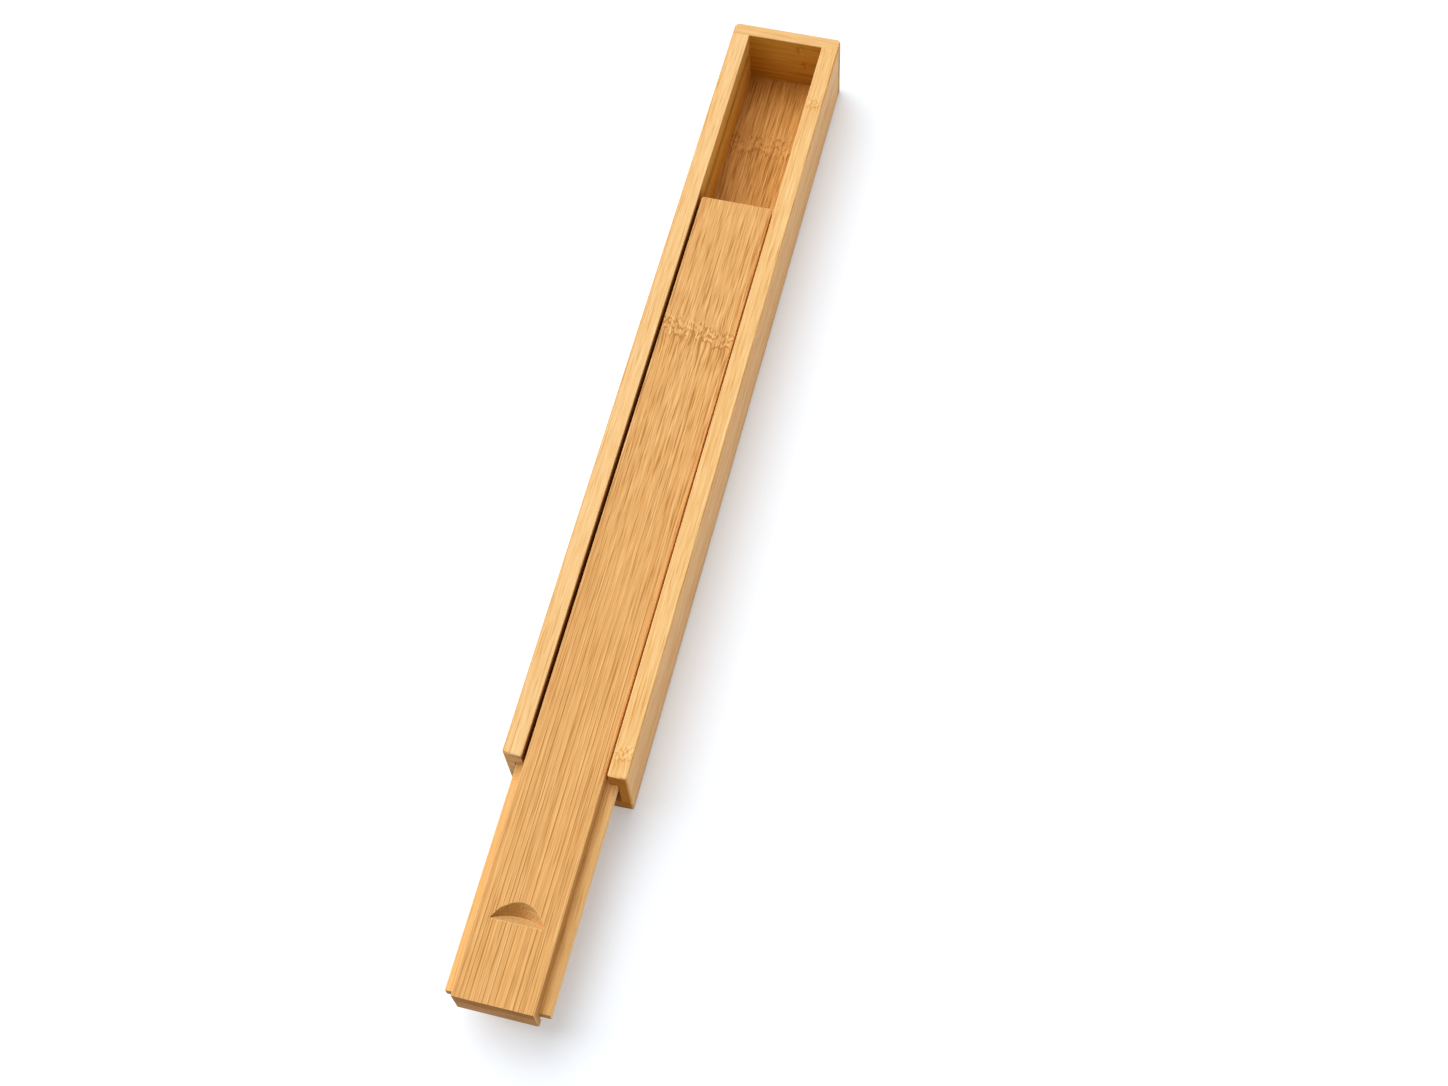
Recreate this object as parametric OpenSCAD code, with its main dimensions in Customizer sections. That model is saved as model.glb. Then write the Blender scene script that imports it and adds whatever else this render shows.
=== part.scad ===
// Portable chopstick case: a slim bamboo box, closed at one end, with a lid that slides
// in grooves and draws out through the open mouth.
// Millimetres. The origin is the middle of the case's underside, +X is to the right,
// +Y runs from the mouth to the closed end and +Z is up.

/* [Case] */
// Outside length, from the mouth to the outer face of the end wall
case_l = 240; // [190:1:320]
// Outside width
case_w = 32.4; // [28:0.1:60]
// Outside height
case_h = 22; // [19:0.1:40]
// Thickness of each side wall, which shows as the rim
wall_t = 5.1; // [4:0.1:8]
// Thickness of the wall that closes the far end
end_wall_t = 4; // [2.5:0.1:10]
// Thickness of the floor board
floor_t = 3.8; // [2:0.1:7]
// Depth of the rebate in each side wall that holds an edge of the floor board
floor_rebate = 2; // [0.5:0.1:3]
// Thickness of the low sill across the mouth, under the lid
sill_t = 4; // [2:0.1:10]
// How far behind the mouth the thick lower half of each side wall begins
wall_setback = 3; // [1:0.1:10]

/* [Lid] */
// Thickness of the lid board
lid_t = 8.2; // [6:0.1:11]
// Depth of the lid's top below the rim
lid_recess = 1.5; // [0.2:0.1:3]
// Gap between the lid board and the rim, on each side
lid_gap = 0.75; // [0.3:0.05:2]
// How far the lid's nose stands out of the mouth when the case is closed
lid_nose = 2; // [1:0.1:8]
// How far the strip under the nose hangs below the lid's underside
nose_drop = 2.4; // [0.5:0.1:6]
// How far the lid is drawn out from closed, as the case is shown
lid_open = 59; // [0:1:150]
// Width of each runner strip, out from the lid board's edge
runner_w = 2.85; // [2.4:0.05:4]
// Height of each runner strip, up from the lid's underside
runner_h = 3.4; // [2:0.1:5]

/* [Thumb notch] */
// Length of the notch's straight edge, across the lid
notch_chord = 13.8; // [8:0.1:18]
// Reach of the curved edge beyond the straight one, along the lid
notch_reach = 5.6; // [3:0.1:7]
// Slope of the notch's flat ramp, in degrees
notch_tilt = 48; // [30:1:60]
// Distance from the lid's near end to the straight edge
notch_from_nose = 20.2; // [8:0.1:60]

/* [Fits] */
// Clearance between the side of each runner and the bottom of its groove
runner_side_gap = 0.35; // [0.1:0.05:0.6]
// Clearance above and below each runner in its groove
runner_gap = 0.2; // [0.1:0.05:0.5]
// Clearance between the lid and the end wall when the case is closed
lid_end_gap = 0.4; // [0.1:0.1:2]
// Clearance between the lid's underside and the sill
sill_gap = 0.3; // [0.1:0.1:1]
// Clearance between the strip under the nose and the sill when the case is closed
nose_gap = 0.3; // [0.1:0.1:0.8]

/* [Edges] */
// Radius of the case's eased outer edges
case_edge_r = 0.8; // [0.2:0.1:2]
// Radius of the end wall's upright corners
corner_r = 1.5; // [0.5:0.1:2.4]
// Radius of the eased edges of the rim, the sill and the lid
board_edge_r = 0.4; // [0.1:0.05:0.8]

/* [Hidden] */
$fn = 64;
// Overrun of a cutting shape past the face that it cuts
over = 1;

// Inside of the case
inner_w = case_w - 2 * wall_t;
mouth_y = -case_l / 2;
back_y = case_l / 2;
end_y = back_y - end_wall_t;

// Lid, where it lies drawn out by lid_open
lid_w = inner_w - 2 * lid_gap;
lid_top = case_h - lid_recess;
lid_bottom = lid_top - lid_t;
lid_far_y = end_y - lid_end_gap - lid_open;
lid_near_y = mouth_y - lid_nose - lid_open;
runner_near_y = lid_near_y + lid_nose;

// Groove in each side wall that carries a runner
groove_depth = runner_w - lid_gap + runner_side_gap;
groove_low = lid_bottom - runner_gap;
groove_high = lid_bottom + runner_h + runner_gap;

// Thumb notch, cut by a tilted flat-ended cylinder whose end face is the ramp
notch_y = lid_near_y + notch_from_nose;
ramp_l = notch_reach * cos(notch_tilt);
notch_r = (pow(notch_chord / 2, 2) / ramp_l + ramp_l) / 2;

bamboo_rim = [0.90, 0.70, 0.42];
bamboo_inside = [0.72, 0.49, 0.24];
bamboo_lid = [0.84, 0.62, 0.35];

// Extrudes an outline drawn in X and Z from one Y to another
module along_y(from, to) {
    translate([0, to, 0])
        rotate([90, 0, 0])
            linear_extrude(to - from)
                children();
}

// Extrudes an outline drawn in Y and Z across the given width, centred on X = 0
module across_x(width) {
    rotate([90, 0, 90])
        linear_extrude(width, center = true)
            children();
}

// The waste outside a rounded corner at the origin whose shape lies to +X and +Y
module corner_waste(r) {
    difference() {
        translate([-over, -over])
            square(r + over);
        translate([r, r])
            circle(r);
    }
}

// Rectangle from the origin with each corner's radius given, 0 for a sharp one:
// low left, low right, high right, high left
module eased_rect(size, radii) {
    corners = [[0, 0, 0], [size.x, 0, 90], [size.x, size.y, 180], [0, size.y, 270]];
    difference() {
        square(size);
        for (i = [0 : 3])
            if (radii[i] > 0)
                translate([corners[i][0], corners[i][1]])
                    rotate(corners[i][2])
                        corner_waste(radii[i]);
    }
}

// Section of the left wall: outer face at the left, groove and floor rebate at the right
module wall_section() {
    difference() {
        eased_rect([wall_t, case_h], [case_edge_r, 0, board_edge_r, case_edge_r]);
        translate([wall_t - groove_depth, groove_low])
            square([groove_depth + over, groove_high - groove_low]);
        translate([wall_t - floor_rebate, -over])
            square([floor_rebate + over, floor_t + over]);
    }
}

// Left wall, whose near end is a C: the groove runs down to the floor there
module side_wall() {
    translate([-case_w / 2, 0, 0])
        difference() {
            along_y(mouth_y, end_y)
                wall_section();
            translate([wall_t - groove_depth, mouth_y - over, floor_t])
                cube([groove_depth + over, wall_setback + over, groove_high - floor_t]);
        }
}

module left_wall() {
    color(bamboo_rim)
        side_wall();
}

module right_wall() {
    color(bamboo_rim)
        mirror([1, 0, 0])
            side_wall();
}

module floor_board() {
    width = inner_w + 2 * floor_rebate;
    color(bamboo_inside)
        translate([-width / 2, mouth_y, 0])
            cube([width, end_y - mouth_y, floor_t]);
}

// Spans the full width, so the side walls and the floor end against its inner face
module end_wall() {
    color(bamboo_rim)
        intersection() {
            translate([-case_w / 2, end_y, 0])
                linear_extrude(case_h)
                    eased_rect([case_w, end_wall_t], [0, 0, corner_r, corner_r]);
            translate([-case_w / 2, 0, 0])
                along_y(end_y, back_y)
                    eased_rect([case_w, case_h],
                               [case_edge_r, case_edge_r, case_edge_r, case_edge_r]);
            across_x(case_w)
                translate([end_y, 0])
                    eased_rect([end_wall_t, case_h], [0, case_edge_r, case_edge_r, 0]);
        }
}

// Low wall on the floor between the side walls, which the lid passes over
module front_sill() {
    height = lid_bottom - sill_gap - floor_t;
    color(bamboo_inside)
        across_x(inner_w)
            translate([mouth_y, floor_t])
                eased_rect([sill_t, height], [0, 0, board_edge_r, board_edge_r]);
}

module thumb_notch() {
    translate([0, notch_y, lid_top])
        rotate([-notch_tilt, 0, 0])
            translate([0, ramp_l - notch_r, 0])
                cylinder(r = notch_r, h = 2 * notch_r);
}

module lid_board() {
    color(bamboo_lid)
        difference() {
            translate([-lid_w / 2, 0, 0])
                along_y(lid_near_y, lid_far_y)
                    translate([0, lid_bottom])
                        eased_rect([lid_w, lid_t], [0, 0, board_edge_r, board_edge_r]);
            thumb_notch();
        }
}

// Strip glued under the lid's near end, which hangs in front of the sill when closed
module nose_strip() {
    color(bamboo_lid)
        translate([-lid_w / 2, lid_near_y, lid_bottom - nose_drop])
            cube([lid_w, lid_nose - nose_gap, nose_drop]);
}

// Strip glued along the lid board's left edge, flush with its underside
module runner() {
    translate([-lid_w / 2 - runner_w, 0, 0])
        along_y(runner_near_y, lid_far_y)
            translate([0, lid_bottom])
                eased_rect([runner_w, runner_h], [board_edge_r, 0, 0, board_edge_r]);
}

module left_runner() {
    color(bamboo_lid)
        runner();
}

module right_runner() {
    color(bamboo_lid)
        mirror([1, 0, 0])
            runner();
}

floor_board();
left_wall();
right_wall();
end_wall();
front_sill();
lid_board();
nose_strip();
left_runner();
right_runner();
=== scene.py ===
"""Portable bamboo chopstick case with a sliding lid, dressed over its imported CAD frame."""

import math

import bmesh
import bpy
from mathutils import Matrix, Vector


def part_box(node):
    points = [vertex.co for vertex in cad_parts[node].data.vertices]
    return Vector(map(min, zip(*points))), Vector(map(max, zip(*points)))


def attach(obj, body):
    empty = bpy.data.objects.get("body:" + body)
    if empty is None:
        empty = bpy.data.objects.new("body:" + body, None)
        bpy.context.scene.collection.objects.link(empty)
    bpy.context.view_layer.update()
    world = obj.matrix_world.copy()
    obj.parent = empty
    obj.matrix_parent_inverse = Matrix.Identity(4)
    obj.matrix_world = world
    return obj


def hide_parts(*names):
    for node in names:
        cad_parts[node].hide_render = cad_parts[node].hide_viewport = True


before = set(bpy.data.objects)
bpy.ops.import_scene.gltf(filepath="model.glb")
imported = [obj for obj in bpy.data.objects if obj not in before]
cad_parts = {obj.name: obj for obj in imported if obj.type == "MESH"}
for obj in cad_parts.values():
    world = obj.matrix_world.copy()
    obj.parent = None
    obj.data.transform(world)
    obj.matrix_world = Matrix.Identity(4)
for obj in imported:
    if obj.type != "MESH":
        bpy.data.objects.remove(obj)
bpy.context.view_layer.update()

MM = 0.001

# Eased edges, in metres. A share is the part of an end's easing that one edge of it takes.
CASE_EDGE = 0.5 * MM
END_CORNER = 1.5 * MM
RIM_EDGE = 0.25 * MM
GROOVE_EDGE = 0.2 * MM
SILL_EDGE = 0.4 * MM
MOUTH_EDGE = 0.6 * MM
LID_EDGE = 0.45 * MM
LID_CORNER = 0.6 * MM
NOSE_CORNER = 0.25 * MM
LID_SIDE_SHARE = 0.4
NOSE_SHARE = 0.4
RUNNER_EDGE = 0.3 * MM
RUNNER_END_EDGE = 0.15 * MM
GLUED_EDGE = 0.06 * MM
GLUED_SHARE = 0.08
RIM_SHARE = 0.6
GROOVE_SHARE = 0.2
NOTCH_EDGE = 0.18 * MM
EDGE_STEPS = 5

# The most of a round corner's radius that the ends' easing may take up
CORNER_ROOM = 0.85

# Edges that turn by more than this stay sharp
SHARP_ANGLE = math.radians(35)

# Fits between the lid's runners and their grooves, and the C-shaped near ends of the walls
RUNNER_SIDE_GAP = 0.35 * MM
RUNNER_GAP = 0.2 * MM
WALL_SETBACK = 3.0 * MM
WEB_STEP = 0.15 * MM

# Thumb notch, cut by a tilted flat-ended cylinder, and how the edges of its rim are told
NOTCH_CHORD = 13.8 * MM
NOTCH_REACH = 5.6 * MM
NOTCH_TILT = math.radians(48)
NOTCH_FROM_NOSE = 20.2 * MM
NOTCH_SIDES = 128
NOTCH_RIM_SLACK = 0.01 * MM
NOTCH_RIM_ANGLE = math.radians(15)

# Camera, fitted to the photograph
CAMERA_PLACE = (0.09900, -0.27602, 0.48517)
CAMERA_TURN = (27.044, 2.231, 14.212)
CAMERA_LENS = 49.67
SENSOR_WIDTH = 36.0

# Light
SKY_LEVEL = 0.43
KEY_LEVEL = 0.60
KEY_FROM = Vector((-0.42, 0.28, 0.86)).normalized()
KEY_SPREAD = math.radians(62)
FILL_LEVEL = 0.04
FILL_FROM = Vector((0.80, -0.50, 0.33)).normalized()
FILL_SPREAD = math.radians(40)
FLOOR_COLOUR = (0.83, 0.885, 0.955, 1.0)
FLOOR_LIFT = 0.225
FLOOR_SIZE = 6.0
FLOOR_DROP = 0.15 * MM


def rgb(red, green, blue):
    """A colour given as 0 to 255 display values, as the linear values that shaders take."""
    def linear(value):
        share = value / 255
        return share / 12.92 if share <= 0.04045 else ((share + 0.055) / 1.055) ** 2.4
    return (linear(red), linear(green), linear(blue), 1.0)


# Outlines and solids

class Corner:
    """A point of an outline, its share of the ends' easing, and how far it may move inward.

    Where the easing moves it follows from its neighbours, unless a move is given.
    """

    def __init__(self, spot, share, room=1.0, move=None):
        self.spot = spot
        self.share = share
        self.room = room
        self.move = move


def rounded(corners, steps=EDGE_STEPS):
    """A closed outline from corners (u, v, radius, share), walked anticlockwise.

    A share may be a pair, for the start and the end of a round corner.
    """
    outline = []
    for i, (u, v, radius, share) in enumerate(corners):
        here = Vector((u, v))
        first, last = share if isinstance(share, tuple) else (share, share)
        if radius <= 0:
            outline.append(Corner(here, first))
            continue
        to_last = (Vector(corners[i - 1][:2]) - here).normalized()
        to_next = (Vector(corners[(i + 1) % len(corners)][:2]) - here).normalized()
        middle = here + radius * (to_last + to_next)
        for k in range(steps + 1):
            turn = 0.5 * math.pi * k / steps
            spot = middle - radius * (math.cos(turn) * to_next + math.sin(turn) * to_last)
            outline.append(Corner(spot, first + (last - first) * k / steps, CORNER_ROOM * radius))
    return outline


def mirrored(outline):
    """The outline's mirror image, still walked anticlockwise."""
    return [Corner(Vector((-c.spot.x, c.spot.y)), c.share, c.room) for c in reversed(outline)]


def inward(outline, i):
    """The move of point i that shrinks the outline by one unit on both sides of it."""
    if outline[i].move is not None:
        return outline[i].move

    def normal(a, b):
        side = (b.spot - a.spot).normalized()
        return Vector((-side.y, side.x))
    last = normal(outline[i - 1], outline[i])
    following = normal(outline[i], outline[(i + 1) % len(outline)])
    both = last + following
    return both / max(0.5, both.dot(following))


def solid(name, outline, place, low, high, low_edge, high_edge):
    """A closed solid: an outline carried from low to high, with both ends' edges eased.

    place(u, v, w) gives the point in space. An outline point whose share is 0 keeps a
    sharp edge, and an end whose edge is 0 is sharp all round.
    """
    moves = [inward(outline, i) for i in range(len(outline))]
    turns = [0.5 * math.pi * k / EDGE_STEPS for k in range(EDGE_STEPS + 1)]
    low_turns = turns if low_edge > 0 else turns[-1:]
    high_turns = reversed(turns) if high_edge > 0 else turns[-1:]
    rings = [(low_edge * (1 - math.sin(t)), low + low_edge * (1 - math.cos(t))) for t in low_turns]
    rings += [(high_edge * (1 - math.sin(t)), high - high_edge * (1 - math.cos(t)))
              for t in high_turns]
    mesh = bmesh.new()
    rows = []
    for inset, w in rings:
        row = []
        for corner, move in zip(outline, moves):
            spot = corner.spot + move * min(inset * corner.share, corner.room)
            row.append(mesh.verts.new(place(spot.x, spot.y, w)))
        rows.append(row)
    count = len(outline)
    for lower, upper in zip(rows, rows[1:]):
        for i in range(count):
            k = (i + 1) % count
            mesh.faces.new((lower[i], lower[k], upper[k], upper[i]))
    mesh.faces.new(list(reversed(rows[0])))
    mesh.faces.new(rows[-1])
    return linked(name, mesh)


def linked(name, mesh):
    """A finished bmesh as an object in the scene."""
    bmesh.ops.recalc_face_normals(mesh, faces=mesh.faces)
    data = bpy.data.meshes.new(name)
    mesh.to_mesh(data)
    mesh.free()
    piece = bpy.data.objects.new(name, data)
    bpy.context.collection.objects.link(piece)
    return piece


def cut_away(piece, cutter):
    """Cuts the cutter's shape out of the piece for good, and removes the cutter."""
    cut = piece.modifiers.new("cut", "BOOLEAN")
    cut.operation = "DIFFERENCE"
    cut.solver = "EXACT"
    cut.object = cutter
    bpy.context.view_layer.update()
    shaped = piece.evaluated_get(bpy.context.evaluated_depsgraph_get())
    data = bpy.data.meshes.new_from_object(shaped)
    piece.modifiers.clear()
    piece.data = data
    bpy.data.objects.remove(cutter)


def along_y(u, v, w):
    return Vector((u, w, v))


def along_x(u, v, w):
    return Vector((w, u, v))


def along_z(u, v, w):
    return Vector((u, v, w))


def smooth(piece):
    """Smooth shading that keeps flat faces flat and true corners sharp."""
    piece.data.shade_smooth()
    piece.data.set_sharp_from_angle(angle=SHARP_ANGLE)
    normals = piece.modifiers.new("flat faces first", "WEIGHTED_NORMAL")
    normals.keep_sharp = True
    normals.weight = 100


# The pieces

wall_low, wall_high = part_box("left_wall")
floor_low, floor_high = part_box("floor_board")
end_low, end_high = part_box("end_wall")
sill_low, sill_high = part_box("front_sill")
lid_low, lid_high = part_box("lid_board")
strip_low, strip_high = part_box("nose_strip")
runner_low, runner_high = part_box("left_runner")

# The groove round a runner, as its bottom's distance from the middle and its two heights
groove_side = -runner_low.x + RUNNER_SIDE_GAP
groove_low = runner_low.z - RUNNER_GAP
groove_high = runner_high.z + RUNNER_GAP


def side_wall(name, side):
    """A grooved wall: side -1 for the left one and 1 for the right one."""
    outer = -wall_low.x
    inner = -wall_high.x
    rebate = floor_high.x
    outline = rounded([
        (rebate, wall_low.z, GLUED_EDGE, GLUED_SHARE),
        (outer, wall_low.z, CASE_EDGE, 1.0),
        (outer, wall_high.z, CASE_EDGE, 1.0),
        (inner, wall_high.z, RIM_EDGE, RIM_SHARE),
        (inner, groove_high, GROOVE_EDGE, GROOVE_SHARE),
        (groove_side, groove_high, 0, GROOVE_SHARE),
        (groove_side, groove_low, 0, GROOVE_SHARE),
        (inner, groove_low, GROOVE_EDGE, GLUED_SHARE),
        (inner, floor_high.z, 0, GLUED_SHARE),
        (rebate, floor_high.z, 0, GLUED_SHARE),
    ])
    # The near end is a C, with the groove cut down to the floor
    waste = rounded([
        (inner - MM, floor_high.z - GLUED_EDGE, 0, 0),
        (groove_side - WEB_STEP, floor_high.z - GLUED_EDGE, 0, 0),
        (groove_side - WEB_STEP, (groove_low + groove_high) / 2, 0, 0),
        (inner - MM, (groove_low + groove_high) / 2, 0, 0),
    ])
    if side < 0:
        outline = mirrored(outline)
        waste = mirrored(waste)
    piece = solid(name, outline, along_y, wall_low.y, wall_high.y, MOUTH_EDGE, 0)
    cut_away(piece, solid("cutter", waste, along_y, wall_low.y - MM, wall_low.y + WALL_SETBACK, 0, 0))
    return piece


def floor_board(name):
    """The board let into both side walls, eased at the mouth and along its underside."""
    outline = rounded([
        (floor_low.x, floor_low.z, GLUED_EDGE, (GLUED_SHARE, 1.0)),
        (floor_high.x, floor_low.z, GLUED_EDGE, (1.0, GLUED_SHARE)),
        (floor_high.x, floor_high.z, 0, GLUED_SHARE),
        (floor_low.x, floor_high.z, 0, GLUED_SHARE),
    ])
    return solid(name, outline, along_y, floor_low.y, floor_high.y, MOUTH_EDGE, GLUED_EDGE)


def end_wall(name):
    """The board across the closed end, eased outside and between the side walls only.

    Where a side wall meets it, its outer edge is eased across X alone, flush with the wall's.
    """
    inner = wall_high.x
    part = RIM_EDGE / CASE_EDGE
    joint = [
        (end_low.x, 1.0, Vector((1, 0))),
        (inner, 0.0, None),
        (inner + RIM_EDGE, part, None),
        (-inner - RIM_EDGE, part, None),
        (-inner, 0.0, None),
        (end_high.x, 1.0, Vector((-1, 0))),
    ]
    back = rounded([
        (end_high.x, end_low.y, 0, 0.0),
        (end_high.x, end_high.y, END_CORNER, 1.0),
        (end_low.x, end_high.y, END_CORNER, 1.0),
        (end_low.x, end_low.y, 0, 0.0),
    ], 2 * EDGE_STEPS)
    outline = [Corner(Vector((x, end_low.y)), share, move=move) for x, share, move in joint]
    return solid(name, outline + back[1:-1], along_z, end_low.z, end_high.z, CASE_EDGE, CASE_EDGE)


def front_sill(name):
    """The low board across the mouth, with its top edges eased."""
    outline = rounded([
        (sill_low.y, sill_low.z, GLUED_EDGE, 1.0),
        (sill_high.y, sill_low.z, 0, 1.0),
        (sill_high.y, sill_high.z, SILL_EDGE, 1.0),
        (sill_low.y, sill_high.z, SILL_EDGE, 1.0),
    ])
    return solid(name, outline, along_x, sill_low.x, sill_high.x, GLUED_EDGE, GLUED_EDGE)


def notch_cutter():
    """The tilted cylinder that cuts the thumb notch, with its flat end on the ramp."""
    ramp = NOTCH_REACH * math.cos(NOTCH_TILT)
    radius = ((NOTCH_CHORD / 2) ** 2 / ramp + ramp) / 2
    down_ramp = Vector((0, math.cos(NOTCH_TILT), -math.sin(NOTCH_TILT)))
    out = Vector((0, math.sin(NOTCH_TILT), math.cos(NOTCH_TILT)))
    chord = Vector((0, lid_low.y + NOTCH_FROM_NOSE, lid_high.z))
    middle = chord + (ramp - radius) * down_ramp
    mesh = bmesh.new()
    rows = []
    for depth in (0, 2 * radius):
        row = []
        for i in range(NOTCH_SIDES):
            turn = 2 * math.pi * i / NOTCH_SIDES
            around = Vector((math.cos(turn), 0, 0)) + math.sin(turn) * down_ramp
            row.append(mesh.verts.new(middle + radius * around + depth * out))
        rows.append(row)
    for i in range(NOTCH_SIDES):
        k = (i + 1) % NOTCH_SIDES
        mesh.faces.new((rows[0][i], rows[0][k], rows[1][k], rows[1][i]))
    mesh.faces.new(rows[0])
    mesh.faces.new(rows[1])
    return linked("cutter", mesh)


def lid_board(name):
    """The lid's board, with eased edges, round far corners and the thumb notch."""
    outline = rounded([
        (lid_low.x, lid_low.y, NOSE_CORNER, (LID_SIDE_SHARE, NOSE_SHARE)),
        (lid_high.x, lid_low.y, NOSE_CORNER, (NOSE_SHARE, LID_SIDE_SHARE)),
        (lid_high.x, lid_high.y, LID_CORNER, (LID_SIDE_SHARE, 1.0)),
        (lid_low.x, lid_high.y, LID_CORNER, (1.0, LID_SIDE_SHARE)),
    ])
    piece = solid(name, outline, along_z, lid_low.z, lid_high.z, 0, LID_EDGE)
    cut_away(piece, notch_cutter())
    ease_notch(piece)
    return piece


def nose_strip(name):
    """The strip under the lid's near end, flush with the board's end and sides."""
    outline = rounded([
        (strip_low.x, strip_low.y, NOSE_CORNER, NOSE_SHARE),
        (strip_high.x, strip_low.y, NOSE_CORNER, NOSE_SHARE),
        (strip_high.x, strip_high.y, 0, NOSE_SHARE),
        (strip_low.x, strip_high.y, 0, NOSE_SHARE),
    ])
    return solid(name, outline, along_z, strip_low.z, strip_high.z, LID_EDGE, 0)


def in_notch(spot):
    """True for a point of the lid within the thumb notch's outline, with a little to spare."""
    start = lid_low.y + NOTCH_FROM_NOSE
    return start - MM < spot.y < start + NOTCH_REACH + MM and abs(spot.x) < NOTCH_CHORD / 2 + MM


def ease_notch(piece):
    """Eases the notch's rim, and gives its curved wall and its ramp their own materials."""
    mesh = bmesh.new()
    mesh.from_mesh(piece.data)
    rim = []
    for edge in mesh.edges:
        spots = [v.co for v in edge.verts]
        on_top = all(abs(s.z - lid_high.z) < NOTCH_RIM_SLACK and in_notch(s) for s in spots)
        if on_top and edge.is_manifold and edge.calc_face_angle() > NOTCH_RIM_ANGLE:
            rim.append(edge)
    bmesh.ops.bevel(mesh, geom=rim, offset=NOTCH_EDGE, segments=2, profile=0.5, affect="EDGES")
    for face in mesh.faces:
        middle = face.calc_center_median()
        # The lid's flat top and underside keep the first material
        if not in_notch(middle) or middle.z < lid_low.z + MM or face.normal.z > 0.8:
            continue
        # Only the ramp looks toward the lid's far end
        face.material_index = 1 if face.normal.y < 0.5 else 2
    mesh.to_mesh(piece.data)
    mesh.free()


def runner(name, side):
    """A strip along one edge of the lid, flush with its underside."""
    outer = -runner_low.x
    inner = -runner_high.x
    outline = rounded([
        (inner, runner_low.z, GLUED_EDGE, GLUED_SHARE),
        (outer, runner_low.z, RUNNER_EDGE, 1.0),
        (outer, runner_high.z, RUNNER_EDGE, 1.0),
        (inner, runner_high.z, 0, 1.0),
    ])
    if side < 0:
        outline = mirrored(outline)
    return solid(name, outline, along_y, runner_low.y, runner_high.y, RUNNER_END_EDGE, RUNNER_END_EDGE)


# Shader nodes

class Nodes:
    """Short calls that add shader nodes to one tree and join them."""

    def __init__(self, tree):
        self.tree = tree
        tree.nodes.clear()

    def add(self, kind, **settings):
        node = self.tree.nodes.new(kind)
        for key, value in settings.items():
            setattr(node, key, value)
        return node

    def put(self, socket, value):
        if isinstance(value, bpy.types.NodeSocket):
            self.tree.links.new(value, socket)
        else:
            socket.default_value = value

    def math(self, operation, a, b=0.0, c=0.0):
        node = self.add("ShaderNodeMath", operation=operation)
        for socket, value in zip(node.inputs, (a, b, c)):
            self.put(socket, value)
        return node.outputs[0]

    def times(self, first, *others):
        for value in others:
            first = self.math("MULTIPLY", first, value)
        return first

    def total(self, first, *terms):
        """The first value plus each (share, value) of the terms."""
        for share, value in terms:
            first = self.math("MULTIPLY_ADD", value, share, first)
        return first

    def rest(self, value):
        """What is left of 1 without the value."""
        return self.math("SUBTRACT", 1.0, value)

    def size(self, value):
        return self.math("ABSOLUTE", value)

    def most(self, first, *others):
        for value in others:
            first = self.math("MAXIMUM", first, value)
        return first

    def step(self, value, low, high):
        """0 at low and 1 at high, smooth between, either way round."""
        node = self.add("ShaderNodeMapRange", interpolation_type="SMOOTHSTEP")
        self.put(node.inputs["Value"], value)
        self.put(node.inputs["From Min"], low)
        self.put(node.inputs["From Max"], high)
        return node.outputs[0]

    def past(self, value, face, start, stop):
        """A step from start to stop, both measured from a face's place."""
        return self.step(value, face + start, face + stop)

    def vector(self, x, y, z):
        node = self.add("ShaderNodeCombineXYZ")
        for socket, value in zip(node.inputs, (x, y, z)):
            self.put(socket, value)
        return node.outputs[0]

    def split(self, vector):
        node = self.add("ShaderNodeSeparateXYZ")
        self.put(node.inputs[0], vector)
        return node.outputs

    def noise(self, x, y, z, detail=2.0, roughness=0.5):
        """Noise with its middle at 0."""
        node = self.add("ShaderNodeTexNoise", noise_dimensions="3D")
        self.put(node.inputs["Vector"], self.vector(x, y, z))
        self.put(node.inputs["Scale"], 1.0)
        self.put(node.inputs["Detail"], detail)
        self.put(node.inputs["Roughness"], roughness)
        return self.math("SUBTRACT", node.outputs[0], 0.5)

    def seams(self, value):
        """Distance to the nearest of a row of unevenly spaced lines."""
        node = self.add("ShaderNodeTexVoronoi", voronoi_dimensions="1D", feature="DISTANCE_TO_EDGE")
        self.put(node.inputs["W"], value)
        self.put(node.inputs["Scale"], 1.0)
        self.put(node.inputs["Randomness"], 0.95)
        return node.outputs["Distance"]

    def dots(self, x, y):
        """Distance to the middle of the nearest of a field of scattered dots."""
        node = self.add("ShaderNodeTexVoronoi", voronoi_dimensions="2D", feature="F1")
        self.put(node.inputs["Vector"], self.vector(x, y, 0.0))
        self.put(node.inputs["Scale"], 1.0)
        return node.outputs["Distance"]

    def mix(self, share, a, b, blend="MIX"):
        node = self.add("ShaderNodeMix", data_type="RGBA", blend_type=blend)
        self.put(node.inputs[0], share)
        self.put(node.inputs[6], a)
        self.put(node.inputs[7], b)
        return node.outputs[2]

    def tinted(self, share, colour, tint):
        """The colour, multiplied by a tint to the given share."""
        return self.mix(share, colour, self.mix(1.0, colour, tint, "MULTIPLY"))

    def ramp(self, value, stops):
        node = self.add("ShaderNodeValToRGB")
        marks = node.color_ramp.elements
        while len(marks) < len(stops):
            marks.new(0.5)
        for mark, (place, colour) in zip(marks, stops):
            mark.position = place
            mark.color = colour
        self.put(node.inputs[0], value)
        return node.outputs[0]


# Bamboo

# Dark layers and dots of the end grain, on most boards and on the lid's browner ones
PORE = rgb(112, 72, 34)
LID_PORE = rgb(152, 94, 10)


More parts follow.
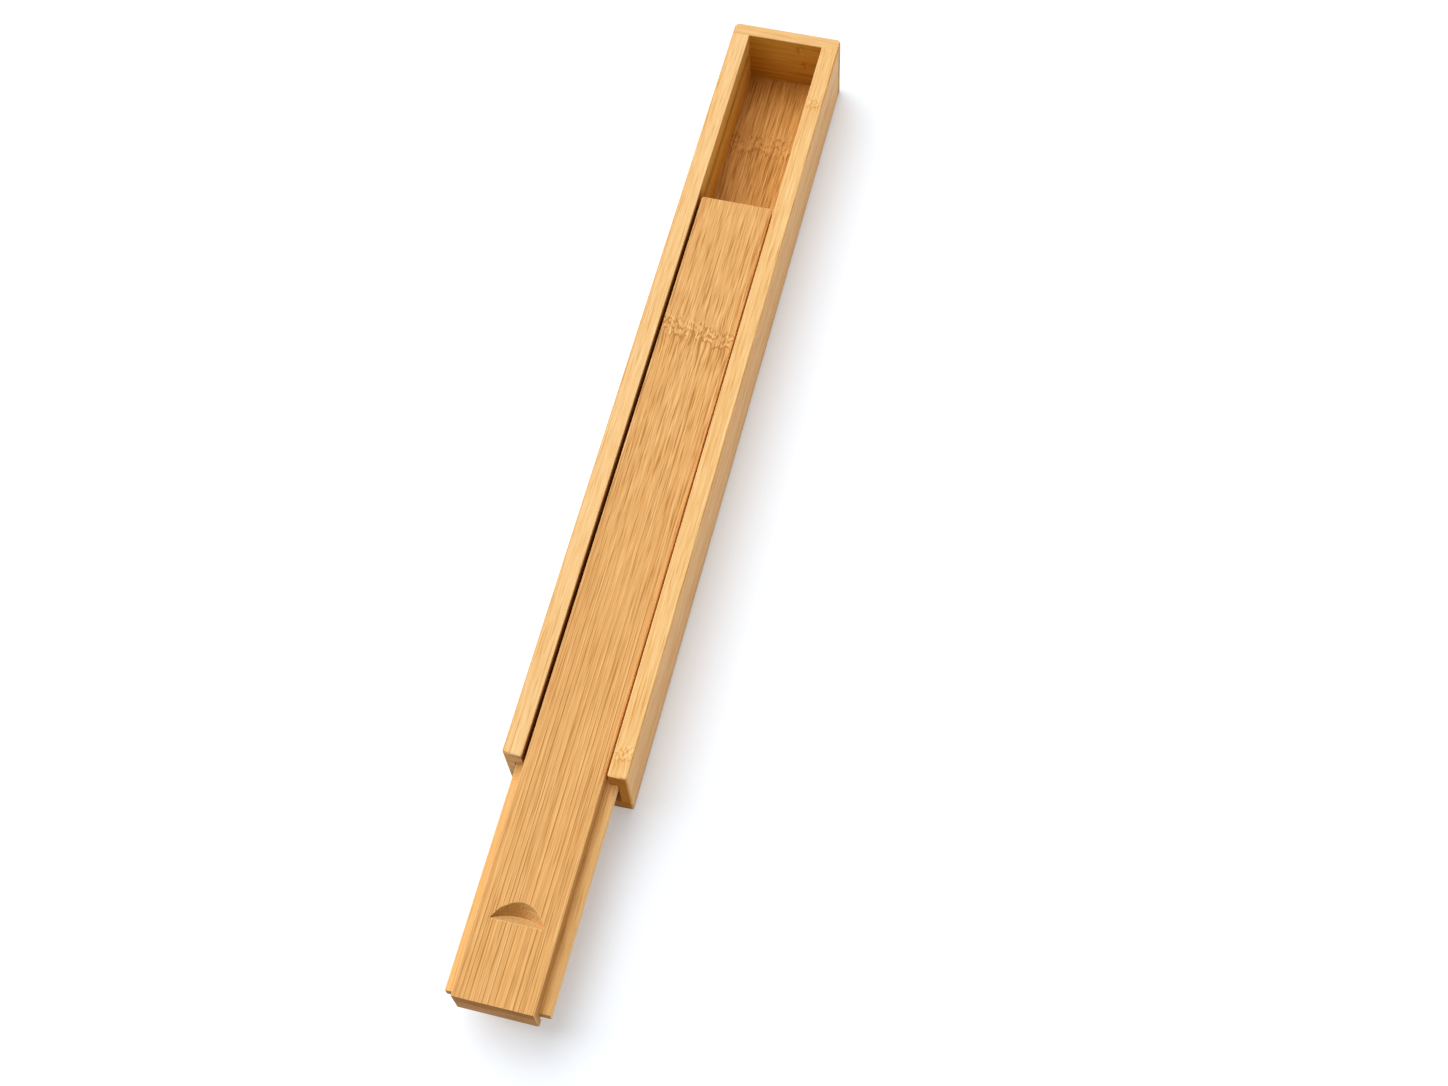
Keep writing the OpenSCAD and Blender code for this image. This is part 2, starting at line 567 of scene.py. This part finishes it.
class Look:
    """How one kind of bamboo board looks: its colours and the strength of each pattern."""

    def __init__(self, dark, base, light, end, broad, long, short, fibres, lines, rough, pore=PORE):
        self.dark = dark
        self.base = base
        self.light = light
        self.end = end
        self.pore = pore
        self.broad = broad
        self.long = long
        self.short = short
        self.fibres = fibres
        self.lines = lines
        self.rough = rough


LEFT_RIM = Look(
    dark=rgb(222, 163, 90), base=rgb(243, 197, 133), light=rgb(255, 221, 164),
    end=rgb(222, 179, 121),
    broad=0.4, long=0.5, short=1.0, fibres=0.8, lines=0.0, rough=0.50)
# The right wall's end grain is browner than the left wall's by painted shade, for its shaded near end
RIGHT_RIM = Look(
    dark=rgb(219, 157, 80), base=rgb(241, 192, 124), light=rgb(255, 217, 155),
    end=rgb(200, 131, 36),
    broad=0.4, long=0.5, short=1.0, fibres=0.8, lines=0.0, rough=0.50)
END_RIM = Look(
    dark=rgb(214, 152, 76), base=rgb(241, 194, 129), light=rgb(252, 214, 154),
    end=rgb(222, 172, 110),
    broad=0.4, long=0.3, short=0.6, fibres=0.7, lines=0.0, rough=0.50)
LID = Look(
    dark=rgb(188, 128, 62), base=rgb(226, 169, 99), light=rgb(247, 196, 128),
    end=rgb(188, 138, 86), pore=LID_PORE,
    broad=0.2, long=0.7, short=1.2, fibres=0.7, lines=0.52, rough=0.48)
SLIDE = Look(
    dark=rgb(218, 160, 88), base=rgb(250, 198, 125), light=rgb(255, 212, 146),
    end=rgb(184, 132, 76), pore=LID_PORE,
    broad=0.3, long=0.8, short=0.9, fibres=0.6, lines=0.0, rough=0.48)
INSIDE = Look(
    dark=rgb(176, 116, 48), base=rgb(219, 160, 82), light=rgb(243, 190, 112),
    end=rgb(184, 134, 78),
    broad=0.3, long=0.25, short=1.4, fibres=1.3, lines=0.0, rough=0.55)
# The thumb notch's curved wall: milled like its ramp, but darker by painted shade
SHADED_NOTCH_WALL = Look(
    dark=rgb(150, 100, 44), base=rgb(176, 124, 60), light=rgb(232, 182, 120),
    end=rgb(184, 134, 78),
    broad=0.0, long=0.2, short=0.4, fibres=0.6, lines=0.0, rough=0.60)
RAMP = Look(
    dark=rgb(182, 132, 72), base=rgb(217, 171, 110), light=rgb(236, 192, 130),
    end=rgb(184, 134, 78),
    broad=0.1, long=0.4, short=0.7, fibres=0.6, lines=0.0, rough=0.58)

# What colours are multiplied by in warmer strips, in the painted light on the lid's edges where the rim
# shades them, on the case's outer sides, in the painted shade on the faces inside the case, in painted
# shade in the darkest places, and in the painted shade of the gap beside the lid
WARM_TINT = (1.0, 0.955, 0.86, 1.0)
WARM_SHARE = 0.6
EDGE_LIGHT_TINT = (1.28, 1.42, 1.60, 1.0)
OUTER_TINT = (1.0, 0.92, 0.88, 1.0)
INSIDE_SHADE_TINT = (0.92, 0.84, 0.32, 1.0)
PAINTED_SHADE_TINT = (0.62, 0.50, 0.20, 1.0)
GAP_SHADE_TINT = (0.52, 0.30, 0.14, 1.0)

# Surface: gloss, roughness that the dark streaks and the end grain add, and bump
SPECULAR = 0.16
STREAK_ROUGH = 0.16
END_ROUGH = 0.35
BUMP_STRENGTH = 0.30
BUMP_DEPTH = 0.05 * MM

# How far into the pattern each seed moves a board, in mm
SEED_SHIFT = 31.7


class Mark:
    """A node of the cane, in mm.

    It crosses a board at a place along it, with a slope, out to half a width from a middle.
    Its strokes reach so far to both sides, and its dark tail so far toward lower places.
    """

    def __init__(self, place, slope, middle, half, reach, strength, tail):
        self.place = place
        self.slope = slope
        self.middle = middle
        self.half = half
        self.reach = reach
        self.strength = strength
        self.tail = tail


RIGHT_MARKS = (
    Mark(place=-114.0, slope=0.3, middle=13.6, half=2.1, reach=2.5, strength=0.9, tail=5.0),
    Mark(place=95.0, slope=0.2, middle=13.6, half=1.9, reach=1.8, strength=0.6, tail=4.0),
)
END_MARKS = (
    Mark(place=4.5, slope=0.2, middle=19.0, half=1.7, reach=1.3, strength=0.7, tail=2.0),
    Mark(place=6.2, slope=0.2, middle=12.6, half=1.6, reach=1.2, strength=0.7, tail=2.0),
)
FLOOR_MARKS = (
    Mark(place=90.5, slope=0.0, middle=0.0, half=14.0, reach=4.2, strength=0.7, tail=30.0),
    Mark(place=-70.0, slope=0.1, middle=0.0, half=14.0, reach=4.2, strength=0.5, tail=24.0),
)
LID_MARKS = (
    Mark(place=11.2, slope=-0.14, middle=0.0, half=14.0, reach=3.6, strength=1.0, tail=16.0),
)

# Places along the lid between which its streaks turn short, and then partly long again, in mm
LID_BREAKS = (-95.0, -10.0, 20.0, 40.0)


class Grain:
    """Where a board is shaded, in mm: along the axes, and across, along and into its grain.

    The fibres run along the axis X or Y, and bent is across with the swirls of cane nodes.
    """

    def __init__(self, n, axis, seed):
        coords = n.add("ShaderNodeTexCoord")
        scaled = n.add("ShaderNodeVectorMath", operation="SCALE")
        n.put(scaled.inputs[0], coords.outputs["Object"])
        n.put(scaled.inputs["Scale"], 1 / MM)
        x, y, z = n.split(scaled.outputs[0])
        self.n = n
        self.seed = seed
        self.place = (x, y, z)
        self.facing = [n.size(part) for part in n.split(coords.outputs["Normal"])]
        if axis == "Y":
            self.across, self.along, deep, self.end_facing = x, y, z, self.facing[1]
        else:
            self.across, self.along, deep, self.end_facing = z, x, y, self.facing[0]
        self.deep = n.math("ADD", deep, SEED_SHIFT * seed)
        self.bent = self.across

    def streak(self, width, length, shift, detail=2.0):
        """Noise drawn out along the grain."""
        n = self.n
        return n.noise(
            n.total(shift + self.seed, (1 / width, self.bent)),
            n.total(3.1 * shift, (1 / length, self.along)),
            n.times(self.deep, 1 / width), detail)


def knuckles(n, mark, across, along, seed):
    """The dark strokes, pale strokes, dark tail and swirl of one cane node.

    Three uneven rows of zigzag strokes cross the board, each dark with a pale side.
    """
    reach = mark.reach
    offset = n.math("SUBTRACT", across, mark.middle)
    sway = n.noise(n.total(2 * seed, (0.16, across)), 0.0, 0.0, 1.0)
    level = n.total(-mark.place, (1.0, along), (-mark.slope, offset), (-0.8 * reach, sway))
    dark = pale = 0.0
    for row in (-1, 0, 1):
        swing = n.noise(n.total(seed + 5.3 * row, (0.95, across)), n.times(level, 0.12), 0.0, 2.0, 0.55)
        away = n.total(-0.62 * row * reach, (1.0, level), (-2.4 * reach, swing))
        broken = n.noise(n.total(seed + row, (0.8, across)), n.times(level, 0.5), seed, 1.0)
        shown = n.step(broken, -0.10, 0.06)
        dark = n.most(dark, n.times(shown, n.step(n.size(away), 0.75, 0.25)))
        pale = n.most(pale, n.times(shown, n.step(n.size(n.math("SUBTRACT", away, 1.2)), 0.7, 0.2)))
    band = n.step(n.size(level), 1.25 * reach, 0.75 * reach)
    dark = n.times(dark, band)
    pale = n.times(pale, band)
    below = n.times(n.step(level, -mark.tail, -0.9 * reach), n.step(level, -0.3 * reach, -reach))
    swirl = n.step(n.size(level), 3.0 * reach, 1.0)
    side = n.step(n.size(offset), mark.half + 0.5, mark.half - 0.5)
    strength = n.times(side, mark.strength)
    return [n.times(part, strength) for part in (dark, pale, below, swirl)]


def cane_nodes(n, grain, marks):
    """The dark strokes, pale strokes and dark tails of all marks, which also bend the grain."""
    dark = pale = tail = 0.0
    for mark in marks:
        lines, flecks, below, near = knuckles(n, mark, grain.across, grain.along, grain.seed + mark.place)
        dark = n.math("ADD", dark, lines)
        pale = n.math("ADD", pale, flecks)
        tail = n.math("ADD", tail, below)
        swirl = n.noise(n.times(grain.across, 0.5), n.times(grain.along, 0.13), grain.deep, 1.0)
        grain.bent = n.total(grain.bent, (1.6, n.times(near, swirl)))
    return dark, pale, tail


def thin_lines(n, grain, share):
    """Thin dark lines along the grain, below 0, each with a pale side, above 0."""
    waver = n.noise(n.times(grain.across, 0.25), n.times(grain.along, 0.012), grain.deep, 1.0)
    row = n.total(2.3 * grain.seed, (0.80, grain.bent), (0.25, waver))
    patches = n.noise(n.times(row, 0.9), n.times(grain.along, 0.05), 1.3 * grain.seed)
    shown = n.times(n.step(patches, -0.20, 0.10), n.total(0.06, (0.94, share)))
    seam = n.step(n.seams(row), 0.15, 0.03)
    beside = n.step(n.seams(n.math("ADD", row, 0.21)), 0.13, 0.03)
    return n.times(shown, n.total(n.times(beside, 0.6), (-1.0, seam)))


def grain_tone(n, grain, look, marks, breaks):
    """A board's tone, about 0.5: streaks, long or short, fibres, thin lines and cane nodes."""
    dark, pale, tail = cane_nodes(n, grain, marks)
    broad = grain.streak(width=5.0, length=90.0, shift=1.7, detail=1.0)
    long = grain.streak(width=0.50, length=90.0, shift=4.1)
    middling = grain.streak(width=0.40, length=26.0, shift=2.9)
    short = grain.streak(width=0.36, length=10.0, shift=9.2)
    fibre = grain.streak(width=0.15, length=6.0, shift=6.3, detail=1.0)
    short_share = line_share = 0.5
    if breaks:
        turned = n.step(grain.along, *breaks[:2])
        line_share = n.rest(turned)
        short_share = n.times(turned, n.total(1.0, (-0.35, n.step(grain.along, *breaks[2:]))))
    long_share = n.rest(short_share)
    dash = n.total(
        n.times(middling, n.total(0.50, (0.10, long_share))),
        (1.0, n.times(short, n.total(0.26, (0.74, short_share)))))
    tone = n.total(
        0.5,
        (look.broad, broad),
        (look.long, n.times(long, n.total(0.3, (0.7, long_share)))),
        (look.short, dash),
        (look.fibres, fibre),
        (-0.22 * look.short, n.step(dash, -0.07, -0.15)),
        (0.12 * look.short, n.step(dash, 0.08, 0.15)))
    if look.lines:
        tone = n.total(tone, (look.lines, thin_lines(n, grain, line_share)))
    if marks:
        dark_dashes = n.times(tail, n.step(short, -0.03, -0.12))
        tone = n.total(tone, (-0.60, dark), (0.30, pale), (-0.04, tail), (-0.55, dark_dashes))
    return tone


def cutter_lines(n, grain, paler):
    """Fine lines across a face of the thumb notch, with painted light that makes it paler by that much to
    the right.
    """
    x = grain.place[0]
    ridge = n.total(n.times(grain.along, math.sin(NOTCH_TILT)), (math.cos(NOTCH_TILT), grain.deep))
    lines = n.noise(n.times(ridge, 2.6), n.times(x, 0.08), 0.0, 1.0)
    return n.total(n.times(lines, 0.4), (paler, n.step(x, -2.0, 6.5)))


def eased_edges(n, grain):
    """1 on the eased edges, which face no axis squarely, apart from those of the end grain."""
    square_on = n.most(*grain.facing)
    return n.times(n.step(square_on, 0.985, 0.80), n.step(grain.end_facing, 0.95, 0.85))


def bamboo(name, look, axis, seed, marks=(), breaks=(), edge_light_and_shade=None, tints=(), end_dark=None, milled_painted_light=0.0):
    """A bamboo material whose fibres run along the axis X or Y, patterned by its seed.

    marks are the cane nodes on it. breaks gives two places along the grain between which the
    streaks turn from long to short, and two more between which they partly turn back.
    Functions of a place say how much paler or darker an eased edge is there, as painted highlight and
    shade (edge_light_and_shade), how much darker the end grain is (end_dark) and, in pairs with a tint,
    how large a share of the tint it has (tints); most tints are painted shade or painted light.
    milled_painted_light is for a face of the thumb notch: it shows fine cutter lines and no end grain,
    and is how much painted light makes the face paler to the right.
    """
    material = bpy.data.materials.new(name)
    material.use_nodes = True
    n = Nodes(material.node_tree)
    grain = Grain(n, axis, seed)
    tone = grain_tone(n, grain, look, marks, breaks)
    if milled_painted_light:
        tone = n.math("ADD", tone, cutter_lines(n, grain, milled_painted_light))
    # Painted highlight and painted shade on the eased edges
    if edge_light_and_shade:
        tone = n.total(tone, (1.0, n.times(eased_edges(n, grain), edge_light_and_shade(n, *grain.place))))
    colour = n.ramp(tone, [(0.0, look.dark), (0.5, look.base), (1.0, look.light)])
    warm = n.step(grain.streak(width=1.3, length=120.0, shift=7.7, detail=1.0), -0.08, 0.18)
    colour = n.tinted(n.times(warm, WARM_SHARE), colour, WARM_TINT)
    for share, tint in tints:
        colour = n.tinted(share(n, *grain.place), colour, tint)

    # End grain: browner, in layers, with the dots of the cut fibre bundles
    pore = n.step(n.dots(n.times(grain.across, 1.6), n.times(grain.deep, 1.6)), 0.36, 0.12)
    layer = n.noise(n.times(grain.across, 0.12), 0.0, n.times(grain.deep, 0.55))
    pored = n.total(0.18, (1.5, layer), (0.16, pore))
    if end_dark:
        pored = n.math("ADD", pored, end_dark(n, *grain.place))
    end_share = 0.0 if milled_painted_light else n.step(grain.end_facing, 0.80, 0.97)
    colour = n.mix(end_share, colour, n.mix(pored, look.end, look.pore))

    bump = n.add("ShaderNodeBump")
    bump.inputs["Strength"].default_value = BUMP_STRENGTH
    bump.inputs["Distance"].default_value = BUMP_DEPTH
    n.put(bump.inputs["Height"], n.total(tone, (-0.4, n.times(pore, end_share))))

    shader = n.add("ShaderNodeBsdfPrincipled")
    rough = n.total(look.rough + STREAK_ROUGH / 2, (-STREAK_ROUGH, tone), (END_ROUGH, end_share))
    n.put(shader.inputs["Base Color"], colour)
    n.put(shader.inputs["Roughness"], rough)
    n.put(shader.inputs["Normal"], bump.outputs[0])
    shader.inputs["Specular IOR Level"].default_value = SPECULAR
    output = n.add("ShaderNodeOutputMaterial")
    n.put(output.inputs["Surface"], shader.outputs[0])
    return material


# Where the boards are paler or darker: painted light and shade. The faces' places are in mm, with the lid
# as it lies.

WALL_OUT = -wall_low.x / MM
WALL_IN = -wall_high.x / MM
RIM_TOP = wall_high.z / MM
MOUTH = wall_low.y / MM
END_FACE = end_low.y / MM
BACK = end_high.y / MM
FLOOR_TOP = floor_high.z / MM
GROOVE_SIDE = groove_side / MM
GROOVE_LOW = groove_low / MM
GROOVE_HIGH = groove_high / MM
LID_OUT = lid_high.x / MM
LID_TOP = lid_high.z / MM
LID_END = lid_high.y / MM


def rim_edge_light_and_shade(n, x, y, z):
    """Painted highlight on the inner edges of the rim, painted shade that browns the outer ones."""
    outer = n.most(n.past(n.size(x), WALL_OUT, -3.2, -1.2), n.past(y, BACK, -3.0, -1.0))
    return n.total(0.4, (-0.85, outer))


def lid_edge_highlight(n, x, y, z):
    """Painted highlight on all of the lid's eased edges."""
    return 0.8


def lid_edge_painted_light(n, x, y, z):
    """Painted light where the rim shades the lid: by its left edge and on its right side."""
    left = n.times(n.past(x, -LID_OUT, 0.55, 0.15), n.past(z, LID_TOP, -4.5, -1.5))
    right = n.times(n.past(x, LID_OUT, -0.19, -0.01), n.past(z, LID_TOP, -3.5, -1.0))
    return n.times(n.most(left, right), n.past(y, MOUTH, -4.0, 6.0))


def wall_outside(n, x, y, z):
    """1 on the outer face of a side wall."""
    return n.times(n.past(n.size(x), WALL_OUT, -0.3, -0.05), n.past(z, RIM_TOP, -0.2, -0.7))


def wall_inner(n, x, z):
    """1 on the faces of a side wall that look into the case, from a little lower on the right."""
    height = n.total(z, (0.35, n.step(x, -1.0, 1.0)))
    return n.times(n.past(n.size(x), GROOVE_SIDE, 0.45, 0.15), n.past(height, RIM_TOP, -0.15, -0.4))


def wall_inside_shade(n, x, y, z):
    """The share of the painted inside shade on a side wall: less in the groove, which is left paler
    against its own shadow, and none on the right by the lid, which lights that gap.
    """
    by_lid = n.times(n.past(y, END_FACE, -6.0, -76.0), n.step(x, 0.0, 1.0))
    groove = n.times(n.past(z, GROOVE_LOW, 0.1, 0.5), n.past(z, GROOVE_HIGH, 0.1, -0.1))
    upper = n.past(z, RIM_TOP, -6.0, -2.0)
    streak = n.noise(x, n.times(y, 0.02), n.times(z, 0.8))
    share = n.total(0.92, (-0.85, groove), (-0.25, upper), (0.7, streak))
    return n.times(wall_inner(n, x, z), n.rest(by_lid), share)


def wall_painted_shade(n, x, y, z):
    """Painted shade low on a side wall's inner face, on the groove's ledge, and on the left under the
    lid.
    """
    ledge = n.times(n.past(z, GROOVE_LOW, 0.4, 0.1), n.past(z, GROOVE_LOW, -0.5, -0.2))
    low = n.past(z, FLOOR_TOP, 9.2, 2.2)
    under = n.times(n.past(y, LID_END, 5.4, -2.6), n.step(x, 0.0, -1.0))
    share = n.most(n.times(low, 0.35), n.times(ledge, 0.3), n.times(under, 0.8))
    return n.times(wall_inner(n, x, z), share)


def wall_gap_shade(n, x, y, z):
    """1 on the strip of the left wall that the lid's edge slides beside, which takes painted shade there,
    as in the gap's shadow.
    """
    strip = n.times(n.past(z, RIM_TOP, -5.5, -3.5), n.past(z, RIM_TOP, -0.2, -1.6), n.step(x, 0.0, -1.0))
    return n.times(wall_inner(n, x, z), strip, n.past(y, LID_END, 3.4, -0.6))


def lid_side_shade(n, x, y, z):
    """Painted shade on the lid's long sides, the right one only near the nose."""
    left = n.times(n.past(x, -LID_OUT, 0.2, 0.03), n.past(z, LID_TOP, -0.9, -1.5))
    right = n.times(n.past(x, LID_OUT, -0.2, -0.03), n.past(z, LID_TOP, -0.1, -0.4))
    return n.times(n.most(left, n.times(right, n.past(y, MOUTH, 6.0, -4.0))), 0.6)


def lid_end_dark(n, x, y, z):
    """Darker in the upper layer of the lid's end grain."""
    wave = n.noise(n.times(x, 0.25), 0.0, 0.0)
    return n.times(n.past(n.total(z, (3.0, wave)), LID_TOP, -5.0, -3.9), 0.5)


def runner_board_shade(n, x, y, z):
    """Painted shade beside the lid's board on a runner, where the board shades it."""
    return n.times(n.past(n.size(x), LID_OUT, 0.85, 0.05), 0.2)


def end_inside(n, x, y, z):
    """1 on the end wall's face that looks into the case, where it takes the painted inside shade."""
    inner = n.times(n.past(y, END_FACE, 0.4, 0.1), n.past(z, RIM_TOP, -0.15, -0.4))
    return n.times(inner, n.past(n.size(x), WALL_IN, 0.4, 0.1))


def end_painted_shade(n, x, y, z):
    """Painted shade low down and toward the left on the end wall's inner face, where the left wall shades
    it.
    """
    left = n.past(x, -WALL_IN, WALL_IN, 0.1)
    low = n.past(z, FLOOR_TOP, 11.2, 1.2)
    streak = n.noise(n.times(x, 0.03), y, n.times(z, 0.9), 3.0)
    share = n.total(0.28, (0.45, left), (0.35, low), (1.8, streak))
    return n.times(share, end_inside(n, x, y, z))


def floor_painted_shade(n, x, y, z):
    """Painted shade toward the end wall and the left wall on the floor board's top."""
    back = n.past(y, END_FACE, -18.0, 0.0)
    left = n.past(x, -WALL_IN, 5.1, 0.1)
    return n.times(n.total(n.times(back, 0.55), (0.15, left)), n.past(z, FLOOR_TOP, -0.3, -0.1))


# Tints: painted shade inside the case, low in its corners, in the gaps and on the runners beside the
# board, and painted light on the lid's edges where the rim shades them
WALL_TINTS = ((wall_outside, OUTER_TINT), (wall_inside_shade, INSIDE_SHADE_TINT), (wall_painted_shade, PAINTED_SHADE_TINT))
GAP_SHADE_TINTS = ((wall_gap_shade, GAP_SHADE_TINT),)
END_TINTS = ((end_inside, INSIDE_SHADE_TINT), (end_painted_shade, PAINTED_SHADE_TINT))
FLOOR_TINTS = ((floor_painted_shade, PAINTED_SHADE_TINT),)
LID_TINTS = ((lid_edge_painted_light, EDGE_LIGHT_TINT), (lid_side_shade, PAINTED_SHADE_TINT))
SLIDE_TINTS = ((runner_board_shade, PAINTED_SHADE_TINT),)


# The case and its lid

def dress(piece, node, body, slot, *materials):
    """Puts a finished piece in the place of its CAD node."""
    smooth(piece)
    while piece.data.materials:
        piece.data.materials.pop()
    for material in materials:
        piece.data.materials.append(material)
    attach(piece, body)
    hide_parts(node)


def build_case():
    dress(side_wall("left_side", -1), "left_wall", "case", "rim_bamboo",
          bamboo("bamboo_left_side", LEFT_RIM, "Y", 1.0, edge_light_and_shade=rim_edge_light_and_shade, tints=WALL_TINTS + GAP_SHADE_TINTS))
    dress(side_wall("right_side", 1), "right_wall", "case", "rim_bamboo",
          bamboo("bamboo_right_side", RIGHT_RIM, "Y", 2.0, RIGHT_MARKS, edge_light_and_shade=rim_edge_light_and_shade, tints=WALL_TINTS))
    dress(end_wall("closed_end"), "end_wall", "case", "rim_bamboo",
          bamboo("bamboo_closed_end", END_RIM, "X", 3.0, END_MARKS, edge_light_and_shade=rim_edge_light_and_shade, tints=END_TINTS))
    dress(floor_board("bottom_board"), "floor_board", "case", "inner_bamboo",
          bamboo("bamboo_bottom_board", INSIDE, "Y", 4.0, FLOOR_MARKS, tints=FLOOR_TINTS))
    dress(front_sill("mouth_sill"), "front_sill", "case", "inner_bamboo",
          bamboo("bamboo_mouth_sill", INSIDE, "X", 5.0))


def build_lid():
    board = bamboo("bamboo_lid_top", LID, "Y", 6.0, LID_MARKS, LID_BREAKS, edge_light_and_shade=lid_edge_highlight,
                   tints=LID_TINTS, end_dark=lid_end_dark)
    dress(lid_board("lid_top"), "lid_board", "lid", "lid_bamboo", board,
          bamboo("bamboo_notch_wall", SHADED_NOTCH_WALL, "Y", 6.0, milled_painted_light=0.45),
          bamboo("bamboo_notch_ramp", RAMP, "Y", 6.0, milled_painted_light=0.1))
    dress(nose_strip("nose_batten"), "nose_strip", "lid", "lid_bamboo", board)
    dress(runner("left_slide", -1), "left_runner", "lid", "lid_bamboo",
          bamboo("bamboo_left_slide", SLIDE, "Y", 7.0, tints=SLIDE_TINTS))
    dress(runner("right_slide", 1), "right_runner", "lid", "lid_bamboo",
          bamboo("bamboo_right_slide", SLIDE, "Y", 8.0, tints=SLIDE_TINTS))


# The studio

def seen_directly(n):
    """1 for rays that show the background itself, 0 for rays that only light the object."""
    path = n.add("ShaderNodeLightPath")
    kinds = ("Is Camera Ray", "Is Glossy Ray", "Is Transmission Ray")
    return n.most(*[path.outputs[kind] for kind in kinds])


def build_floor():
    mesh = bmesh.new()
    bmesh.ops.create_grid(mesh, x_segments=2, y_segments=2, size=FLOOR_SIZE / 2)
    floor = linked("studio_floor", mesh)
    floor.location.z = -FLOOR_DROP
    material = bpy.data.materials.new("studio_floor")
    material.use_nodes = True
    n = Nodes(material.node_tree)
    paper = n.add("ShaderNodeBsdfDiffuse")
    paper.inputs["Color"].default_value = FLOOR_COLOUR
    lift = n.add("ShaderNodeEmission")
    n.put(lift.inputs["Strength"], n.times(seen_directly(n), FLOOR_LIFT))
    both = n.add("ShaderNodeAddShader")
    n.put(both.inputs[0], paper.outputs[0])
    n.put(both.inputs[1], lift.outputs[0])
    output = n.add("ShaderNodeOutputMaterial")
    n.put(output.inputs["Surface"], both.outputs[0])
    floor.data.materials.append(material)


def sun(name, level, light_from, spread):
    """A soft lamp, by which a white face that is turned to it shows at the given level."""
    lamp = bpy.data.lights.new(name, "SUN")
    lamp.energy = level * math.pi
    lamp.angle = spread
    light = bpy.data.objects.new(name, lamp)
    light.rotation_euler = light_from.to_track_quat("Z", "Y").to_euler()
    bpy.context.collection.objects.link(light)


def build_light():
    world = bpy.data.worlds.new("studio")
    bpy.context.scene.world = world
    world.use_nodes = True
    n = Nodes(world.node_tree)
    sky = n.add("ShaderNodeBackground")
    n.put(sky.inputs["Strength"], n.total(SKY_LEVEL, (1 - SKY_LEVEL, seen_directly(n))))
    sky.inputs["Color"].default_value = (1, 1, 1, 1)
    output = n.add("ShaderNodeOutputWorld")
    n.put(output.inputs["Surface"], sky.outputs[0])
    sun("key", KEY_LEVEL / KEY_FROM.z, KEY_FROM, KEY_SPREAD)
    sun("fill", FILL_LEVEL, FILL_FROM, FILL_SPREAD)


def build_camera():
    lens = bpy.data.cameras.new("photo_view")
    lens.sensor_fit = "HORIZONTAL"
    lens.sensor_width = SENSOR_WIDTH
    lens.lens = CAMERA_LENS
    lens.clip_start = 0.01
    lens.dof.use_dof = False
    camera = bpy.data.objects.new("photo_view", lens)
    camera.location = CAMERA_PLACE
    camera.rotation_euler = [math.radians(turn) for turn in CAMERA_TURN]
    bpy.context.collection.objects.link(camera)
    bpy.context.scene.camera = camera


build_case()
build_lid()
build_floor()
build_light()
build_camera()
bpy.context.scene.view_settings.view_transform = "Standard"
